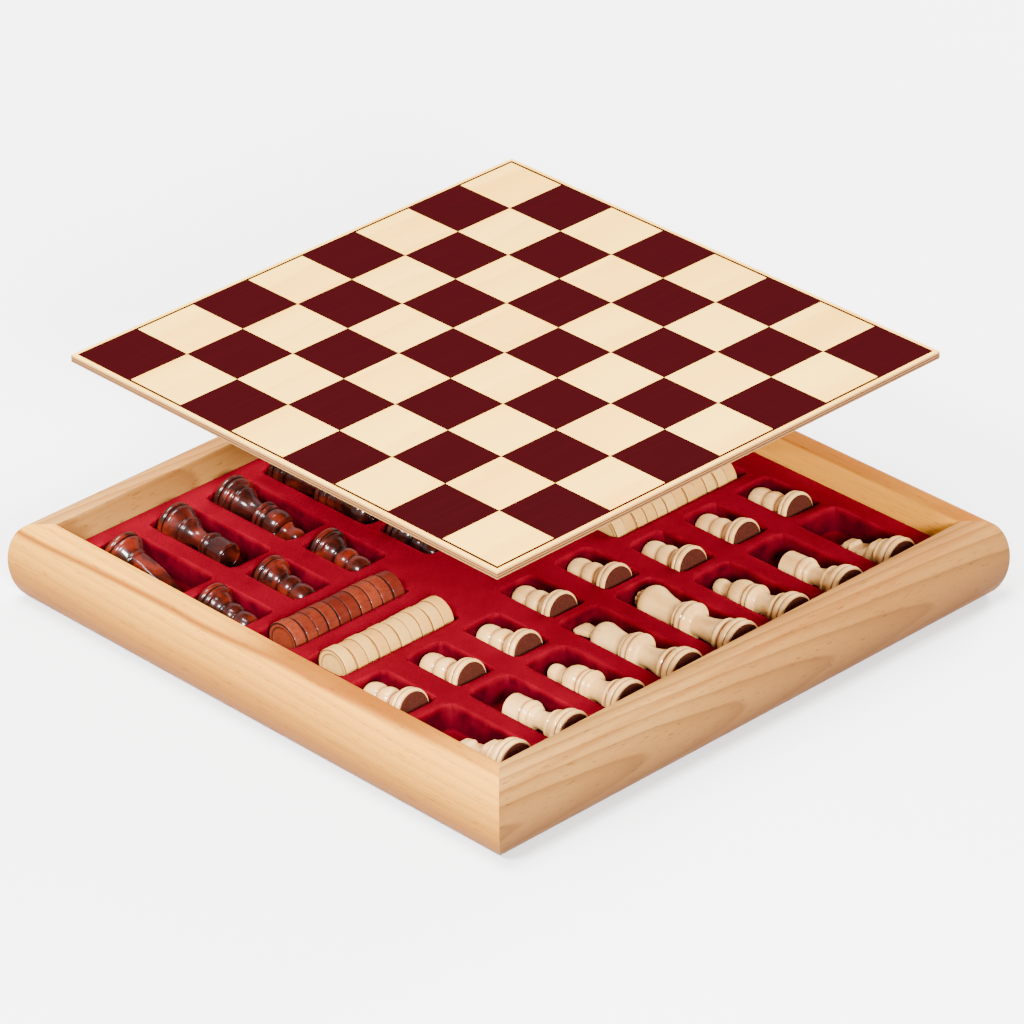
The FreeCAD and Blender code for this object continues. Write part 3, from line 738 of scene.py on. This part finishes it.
def king_finial(radius, height):
    """The flat oval carried up the axis, its width and thickness eased through the shares."""
    start = FELT_THICKNESS + RIM_HEIGHT + RIM_GROOVE
    level = np.linspace(finial_heights[0], finial_heights[-1], 25)
    half_width = np.interp(level, finial_heights, finial_width_shares) * radius
    half_thick = np.interp(level, finial_heights, finial_thickness_shares) * FINIAL_THICKNESS / 2
    across, thick = flat_oval(40, 0.6)
    up = start + level * (height - start)
    x = half_width[:, None] * across
    y = half_thick[:, None] * thick
    rings = np.stack([x, y, up[:, None] + 0 * across], axis=-1)
    return rings.reshape(-1, 3), closed_tube(rings), np.zeros(rings.shape[0] * rings.shape[1])


# Queen's knob
# The low knob on top of the queen's bell, with small notches filed round its rim.
knob_start_share = 0.935
knob_notches = 8
knob_notch_depth = 0.16


def notched_knob(points, grooves, height):
    """Draws in the knob's rim by a cosine of the angle, to a power so that the notches are narrow."""
    start = FELT_THICKNESS + RIM_HEIGHT + RIM_GROOVE
    on_knob = points[:, 2] > start + knob_start_share * (height - start)
    angle = np.arctan2(points[:, 1], points[:, 0])
    notch = on_knob * (0.5 + 0.5 * np.cos(knob_notches * angle)) ** 3
    shrink = 1 - knob_notch_depth * notch
    drawn = points * np.stack([shrink, shrink, np.ones(len(points))], axis=-1)
    # The notches are darkened like the grooves, as painted shade.
    return drawn, np.maximum(grooves, 0.6 * notch)


# Bishop's slit
# A sloping saw cut half way into the head, on the side that lies uppermost, darkened inside as painted shade.
SLIT_WIDTH = 0.0017
SLIT_SLOPE = math.radians(8)
slit_height_share = 0.735
slit_depth_share = 0.9


def slit_head(points, grooves, height):
    """Draws the points near the cut's plane in towards the axis, the more the nearer they are to it."""
    start = FELT_THICKNESS + RIM_HEIGHT + RIM_GROOVE
    level = start + slit_height_share * (height - start)
    off = (points[:, 2] - level) * math.cos(SLIT_SLOPE) + points[:, 1] * math.sin(SLIT_SLOPE)
    inside = np.clip(1.4 - np.abs(off) / (SLIT_WIDTH / 2), 0, 1) * (points[:, 1] < 0)
    drawn = points.copy()
    drawn[:, 1] *= 1 - slit_depth_share * inside
    # The cut takes the full groove value, so it is darkened inside as painted shade.
    return drawn, np.maximum(grooves, inside)


# Knights
# The base is turned like the others. The head is sawn from flat wood, with the mane cut in by a few
# slanting gouge strokes, and glued into the base. The light ones lie on their crest, the dark ones on
# their chest and muzzle.
knight_base_shares = (
    (0.985, 0.041, 0.90, 0.085),
    (0.78, 0.130, 0.66, 0.179),
    (0.70, 0.203, 0.62, 0.234),
    (0.0, 0.239),
)
KNIGHT_THICKNESS = 0.010
crest_levels = (0.215, 0.30, 0.42, 0.553, 0.70, 0.82, 0.94, 1.0)
crest_shares = (-0.60, -0.655, -0.705, -0.72, -0.705, -0.66, -0.58, -0.52)
front_levels = (0.215, 0.336, 0.40, 0.48, 0.56, 0.645, 0.674, 0.783, 0.915, 1.0)
front_shares = (0.56, 0.52, 0.29, 0.12, 0.02, -0.02, 0.12, 0.08, -0.36, -0.50)
side_levels = (0.215, 0.60, 1.0)
side_shares = (1.0, 1.0, 0.6)
stroke_levels = (0.30, 0.90)
stroke_fade = 0.05
stroke_spacing = 0.14
stroke_slant = 0.9
stroke_depth = 0.16


def knight_head(radius, height, front_turn):
    """A flat oval carried up between the crest and the front lines, with gouge strokes cut in its sides."""
    start = FELT_THICKNESS + RIM_HEIGHT + RIM_GROOVE
    level = np.linspace(front_levels[0], front_levels[-1], 120)
    crest = np.interp(level, crest_levels, crest_shares) * radius
    front = np.interp(level, front_levels, front_shares) * radius
    half_thick = np.interp(level, side_levels, side_shares) * KNIGHT_THICKNESS / 2
    across, thick = flat_oval(72, 0.45)
    forward = (crest + front)[:, None] / 2 + (front - crest)[:, None] / 2 * across
    strokes = level[:, None] / stroke_spacing + forward / (stroke_slant * radius)
    stroke = 0.5 + 0.5 * np.cos(2 * math.pi * strokes)
    rise = np.clip((level[:, None] - stroke_levels[0]) / stroke_fade, 0, 1)
    fall = np.clip((stroke_levels[1] - level[:, None]) / stroke_fade, 0, 1)
    cut = stroke**6 * rise * fall * np.clip(1.3 - np.abs(across) * 1.3, 0, 1)
    sideways = half_thick[:, None] * thick * (1 - stroke_depth * cut)
    turn = np.exp(1j * math.radians(front_turn))
    flat = (forward + 1j * sideways) * turn
    up = start + level[:, None] * (height - start) + 0 * forward
    rings = np.stack([flat.real, flat.imag, up], axis=-1)
    # The gouge strokes are darkened like the grooves, as painted shade.
    return rings.reshape(-1, 3), closed_tube(rings), 0.8 * cut.reshape(-1)


turned_men = {
    "pawn": (pawn_shares, 0.0103, 0.032),
    "rook": (rook_shares, 0.011, 0.042),
    "bishop": (bishop_shares, 0.0112, 0.054),
    "queen": (queen_shares, 0.0118, 0.0705),
    "king": (king_shares, 0.0118, 0.073),
    "knight": (knight_base_shares, 0.0112, 0.0455),
}
for node in frame["record"]["behaviour"]["bodies"]:
    kind = node.split("_")[1] if "_" in node else ""
    if kind not in turned_men:
        continue
    shares, radius, height = turned_men[kind]
    points, faces, grooves, outline = plain_man(shares, radius, height)
    if kind == "king":
        points, faces, grooves = joined((points, faces, grooves), king_finial(radius, height))
    if kind == "queen":
        points, grooves = notched_knob(points, grooves, height)
    if kind == "bishop":
        points, grooves = slit_head(points, grooves, height)
    if kind == "knight":
        head = knight_head(radius, height, -90 if node.startswith("light") else 90)
        points, faces, grooves = joined((points, faces, grooves), head)
    place_man(node, points, faces, grooves, radius, lying_tilt(outline, points, height))


# Draughtsmen
# Turned discs with a straight edge just eased, a raised ring and a sunk middle on both faces, lacquered
# like the men. They stand on edge in the troughs, pushed to one end, a little out of line.
DISC_RIM = 0.0026
DISC_RECESS = 0.0007
DISC_EASING = 0.0005
DISC_PLAY = 0.0002
DISC_SHIFT = 0.0006


def disc_outline(radius, thickness):
    """Half the outline of one disc, from the middle of its left face to the middle of its right face."""
    inner = radius - DISC_RIM
    turn = np.linspace(math.pi / 2, 0, 6)
    edge = DISC_EASING * np.stack([np.cos(turn) - 1, 1 - np.sin(turn)], axis=-1) + (radius, 0)
    face = np.array([(0, DISC_RECESS), (inner - DISC_EASING, DISC_RECESS), (inner, 0)])
    half = np.concatenate([face, edge])
    other = half[::-1] * (1, -1) + (0, thickness)
    return eased(np.concatenate([half, other]), 1.5 * OUTLINE_STEP, 1)


def stack_of_discs(node, count, seed):
    """One lathed disc set side by side along x, each shifted a little, with its own tone."""
    low, high = (np.array(corner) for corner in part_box(node))
    radius = (high[2] - low[2]) / 2 - DISC_PLAY / 2
    pitch = (high[0] - low[0]) / count
    outline = disc_outline(radius, pitch - DISC_PLAY)
    one, faces = lathed(outline)
    across = np.stack([one[:, 2], one[:, 0], one[:, 1]], axis=-1)
    chance = np.random.default_rng(seed)
    starts = low[0] + DISC_PLAY / 2 + pitch * np.arange(count)
    sides = (low[1] + high[1]) / 2 + DISC_SHIFT * chance.uniform(-1, 1, count)
    ups = low[2] + radius + DISC_PLAY * chance.uniform(0, 1, count)
    moves = np.stack([starts, sides, ups], axis=-1)
    points = (moves[:, None, :] + across[None]).reshape(-1, 3)
    every = [[corner + place * len(one) for corner in face] for place in range(count) for face in faces]
    # Painted shade: the edges at the gaps between discs and the step of the raised ring are marked to be
    # darkened.
    inward = np.minimum(outline[:, 1], pitch - DISC_PLAY - outline[:, 1])
    gap_shade = (outline[:, 0] > radius - 2 * DISC_EASING) * np.clip(1.6 - inward / DISC_EASING * 2, 0, 1)
    from_step = np.abs(outline[:, 0] - radius + DISC_RIM)
    step_shade = np.clip(1 - from_step / DISC_EASING, 0, 1) * (inward < 2 * DISC_RECESS)
    rings = np.maximum(gap_shade, step_shade)[1:-1]
    sunk = np.tile(np.append(np.repeat(rings, ROUND_STEPS), (0, 0)), count)
    tones = np.repeat(chance.uniform(0, 1, count), len(one))
    return points, every, sunk, tones


def disc_material(name, colours, roughness, coat):
    """Lacquered end grain: each disc has its own tone, fine streaks across its edge, and painted shade in the
    gaps between discs and at the ring's step, kept matt and without coat there.
    """
    first, second, streak, groove_stain_and_shade = colours
    material, tree, shader, place = new_material(name)
    tone = add(tree, "Attribute", {}, attribute_name="tone").outputs["Fac"]
    sunk = add(tree, "Attribute", {}, attribute_name="groove").outputs["Fac"]
    cloud = noise(tree, place, 130.0, 3.0)
    share = maths(tree, "MULTIPLY_ADD", maths(tree, "SUBTRACT", cloud, 0.5), 1.2, tone)
    body = mixed(tree, ramp(tree, share, 0.0, 1.0), first, second)
    fibres = noise(tree, stretched(tree, place, 260.0, 1100.0), 1.0, 3.0, 0.6)
    lined = mixed(tree, maths(tree, "MULTIPLY", ramp(tree, fibres, 0.45, 0.72), 0.45), body, streak)
    tree.links.new(mixed(tree, sunk, lined, groove_stain_and_shade), shader.inputs["Base Color"])
    matt = maths(tree, "MULTIPLY_ADD", sunk, 0.5, roughness)
    tree.links.new(maths(tree, "MULTIPLY_ADD", fibres, 0.12, matt), shader.inputs["Roughness"])
    bump = add(tree, "Bump", {"Height": fibres, "Strength": 0.06, "Distance": 0.0002})
    tree.links.new(bump.outputs[0], shader.inputs["Normal"])
    tree.links.new(maths(tree, "MULTIPLY_ADD", sunk, -coat, coat), shader.inputs["Coat Weight"])
    shader.inputs["Specular IOR Level"].default_value = 0.1
    shader.inputs["Coat Roughness"].default_value = 0.12
    return material


# The fourth colour of each is painted shade in the gaps between discs and at the ring's step.
cream_discs = (srgb(210, 160, 82), srgb(198, 142, 66), srgb(182, 124, 54), srgb(112, 70, 32))
russet_discs = (srgb(112, 44, 24), srgb(80, 22, 12), srgb(56, 14, 8), srgb(10, 3, 2))
light_discs = disc_material("light disc lacquer", cream_discs, 0.4, 0.15)
dark_discs = disc_material("dark disc lacquer", russet_discs, 0.42, 0.15)
disc_counts = {"left": 10, "right": 12}
for seed, (tone, lacquer) in enumerate((("light", light_discs), ("dark", dark_discs))):
    for side, count in disc_counts.items():
        node = tone + "_draughts_" + side
        points, faces, sunk, tones = stack_of_discs(node, count, 7 * seed + count)
        stack = add_piece(node + "_discs", points, faces, lacquer, 50.0)
        set_values(stack, "groove", sunk)
        set_values(stack, "tone", tones)
        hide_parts(node)
        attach(stack, node)


# Playing board
# A loose sheet of thin plywood with pale face veneers and darker plies at its edge, varnished, with the
# dark squares and a fine closing line printed on it. The other face carries a field of ten by ten.
BOARD_EASING = 0.0003


def board_surface():
    """A square path with just broken corners, carried over the edge of the sheet from top to underside."""
    low, high = (np.array(corner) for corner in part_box("playing_board"))
    half = high[0]
    turns = np.linspace(0, math.pi / 2, 5)
    quarter = (half - BOARD_EASING) * (1 + 1j) + BOARD_EASING * np.exp(1j * turns)
    path = np.concatenate([quarter * 1j**side for side in range(4)])
    swing = np.linspace(0, math.pi / 2, 4)
    inset = BOARD_EASING * (1 - np.sin(swing))
    drop = BOARD_EASING * (1 - np.cos(swing))
    shrink = 1 - np.concatenate([inset, inset[::-1]])[:, None] / half
    level = np.concatenate([high[2] - drop, low[2] + drop[::-1]])[:, None]
    ring = path[None] * shrink
    return np.stack([ring.real, ring.imag, level + 0 * ring.real], axis=-1)


def plywood_material():
    """Pale face veneer with its grain along x, and plies of changing tone at the edge of the sheet."""
    material, tree, shader, place = new_material("board plywood")
    low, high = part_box("playing_board")
    placed = add(tree, "Mapping", {"Vector": place, "Location": (0.0, 0.21, 0.4)}).outputs[0]
    inputs = {"Vector": placed, "Ring Width": 0.012, "Waviness": 0.02}
    grain = add(tree, "Group", inputs, node_tree=wood_grain).outputs
    veneer = mixed(tree, ramp(tree, grain["Tone"], 0.3, 0.8), srgb(242, 194, 88), srgb(236, 176, 70))
    lined = mixed(tree, maths(tree, "MULTIPLY", grain["Rings"], 0.28), veneer, srgb(200, 132, 38))
    fine = maths(tree, "MULTIPLY", ramp(tree, grain["Fibres"], 0.48, 0.75), 0.22)
    face = mixed(tree, fine, lined, srgb(194, 134, 52))
    up = add(tree, "SeparateXYZ", {"Vector": place}).outputs[2]
    depth = maths(tree, "DIVIDE", maths(tree, "SUBTRACT", up, low[2]), high[2] - low[2])
    plies = add(tree, "ValToRGB", {"Fac": depth})
    plies.color_ramp.interpolation = "CONSTANT"
    steps = (
        (0.0, srgb(176, 124, 70)),
        (0.2, srgb(58, 30, 16)),
        (0.38, srgb(160, 106, 58)),
        (0.56, srgb(54, 27, 14)),
        (0.72, srgb(204, 152, 88)),
    )
    while len(plies.color_ramp.elements) < len(steps):
        plies.color_ramp.elements.new(0.5)
    for element, (position, colour) in zip(plies.color_ramp.elements, steps):
        element.position = position
        element.color = colour
    normal = add(tree, "SeparateXYZ", {"Vector": add(tree, "NewGeometry", {}).outputs["Normal"]}).outputs
    sideways = ramp(tree, maths(tree, "ABSOLUTE", normal[1]), 0.3, 0.8)
    end_grain = maths(tree, "MULTIPLY_ADD", sideways, 0.1, 0.9)
    layered = mixed(tree, end_grain, srgb(196, 144, 84), plies.outputs[0])
    raw = mixed(tree, maths(tree, "MULTIPLY", grain["Fibres"], 0.3), layered, srgb(128, 80, 44))
    level = ramp(tree, maths(tree, "ABSOLUTE", normal[2]), 0.5, 0.8)
    tree.links.new(mixed(tree, level, raw, face), shader.inputs["Base Color"])
    tree.links.new(maths(tree, "MULTIPLY_ADD", grain["Fibres"], 0.15, 0.42), shader.inputs["Roughness"])
    bump = add(tree, "Bump", {"Height": grain["Fibres"], "Strength": 0.08, "Distance": 0.0002})
    tree.links.new(bump.outputs[0], shader.inputs["Normal"])
    shader.inputs["Specular IOR Level"].default_value = 0.06
    return material


def print_material():
    """Maroon ink under varnish, with the grain of the veneer just showing through."""
    material, tree, shader, place = new_material("maroon print")
    placed = add(tree, "Mapping", {"Vector": place, "Location": (0.0, 0.21, 0.4)}).outputs[0]
    inputs = {"Vector": placed, "Ring Width": 0.012, "Waviness": 0.02}
    grain = add(tree, "Group", inputs, node_tree=wood_grain).outputs
    veil = maths(tree, "MULTIPLY", ramp(tree, grain["Fibres"], 0.4, 0.75), 0.6)
    ink = mixed(tree, veil, srgb(36, 3, 5), srgb(44, 4, 7))
    tree.links.new(ink, shader.inputs["Base Color"])
    tree.links.new(maths(tree, "MULTIPLY_ADD", grain["Fibres"], 0.15, 0.45), shader.inputs["Roughness"])
    bump = add(tree, "Bump", {"Height": grain["Fibres"], "Strength": 0.06, "Distance": 0.0002})
    tree.links.new(bump.outputs[0], shader.inputs["Normal"])
    shader.inputs["Specular IOR Level"].default_value = 0.01
    return material


sheet = board_surface()
lines, around = sheet.shape[:2]
faces = [list(face) for face in grid_faces(lines, around, True)[:, ::-1]]
faces.append(list(range(around)))
faces.append(list(range(lines * around - 1, (lines - 1) * around - 1, -1)))
board = add_piece("board_plywood", sheet, faces, plywood_material(), 50.0)
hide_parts("playing_board")
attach(board, "board")
maroon_print = print_material()
for node in ("chess_squares", "chess_border_line", "draughts_squares", "draughts_border_line"):
    frame["nodes"][node].data.materials.clear()
    frame["nodes"][node].data.materials.append(maroon_print)


# Floor, light and camera
# A plain white floor under a large overhead soft box, with a key light on the left, a low fill in front that
# reaches in under the raised board, a weaker light low on the right without reflections, and an even sky.
def floor_material():
    """A near white floor with a faint slow change of tone."""
    material, tree, shader, place = new_material("pale floor")
    tone = mixed(tree, noise(tree, place, 3.0), srgb(252, 252, 252), srgb(249, 249, 249))
    tree.links.new(tone, shader.inputs["Base Color"])
    shader.inputs["Roughness"].default_value = 0.9
    shader.inputs["Specular IOR Level"].default_value = 0.1
    return material


reach = 6.0
corners = np.array([(-reach, -reach, 0), (reach, -reach, 0), (reach, reach, 0), (-reach, reach, 0)])
floor = add_piece("floor", corners, [[0, 1, 2, 3]], floor_material())
floor.visible_diffuse = False


def soft_light(name, place, target, size, power):
    """A square area light that looks at a target."""
    data = bpy.data.lights.new(name, "AREA")
    data.shape = "SQUARE"
    data.size = size
    data.energy = power
    light = bpy.data.objects.new(name, data)
    light.location = place
    light.rotation_euler = (Vector(target) - Vector(place)).to_track_quat("-Z", "Y").to_euler()
    bpy.context.scene.collection.objects.link(light)
    return light


soft_light("overhead", (-0.3, 0.6, 3.0), (0, 0, 0.05), 1.4, 230)
soft_light("key", (-2.0, 0.0, 2.0), (0, 0, 0.05), 0.7, 185)
soft_light("fill", (-1.4, -2.3, 1.25), (0, 0, 0.05), 0.6, 290)
right_light = soft_light("right", (2.3, 0.5, 0.95), (0, 0, 0.05), 0.9, 170)
right_light.visible_glossy = False
world = bpy.data.worlds.new("even sky")
world.use_nodes = True
world.node_tree.nodes["Background"].inputs["Color"].default_value = (1.0, 1.0, 1.0, 1.0)
world.node_tree.nodes["Background"].inputs["Strength"].default_value = 0.7
bpy.context.scene.world = world

VIEW_AZIMUTH = math.radians(-43.6678)
VIEW_ELEVATION = math.radians(29.7592)
VIEW_ROLL = math.radians(0.862)
VIEW_DISTANCE = 3.049
VIEW_ACROSS = 0.0022
VIEW_DOWN = -0.0051
LENS = 222.33


def photo_camera():
    """Looks at the middle of the box's top edge from the photo's direction, with its roll and framing."""
    level = math.cos(VIEW_ELEVATION)
    ahead = math.cos(VIEW_AZIMUTH) * level
    forward = Vector((-math.sin(VIEW_AZIMUTH) * level, ahead, -math.sin(VIEW_ELEVATION)))
    right = forward.cross(Vector((0, 0, 1))).normalized()
    down = forward.cross(right)
    across = math.cos(VIEW_ROLL) * right + math.sin(VIEW_ROLL) * down
    below = -math.sin(VIEW_ROLL) * right + math.cos(VIEW_ROLL) * down
    data = bpy.data.cameras.new("photo camera")
    data.lens = LENS
    data.sensor_width = 36.0
    data.clip_end = 50.0
    camera = bpy.data.objects.new("photo camera", data)
    target = Vector((0, 0, rail_high[2]))
    place = target - forward * VIEW_DISTANCE + across * VIEW_ACROSS + below * VIEW_DOWN
    axes = Matrix((across, -below, -forward)).transposed()
    camera.matrix_world = Matrix.Translation(place) @ axes.to_4x4()
    bpy.context.scene.collection.objects.link(camera)
    bpy.context.scene.camera = camera


photo_camera()
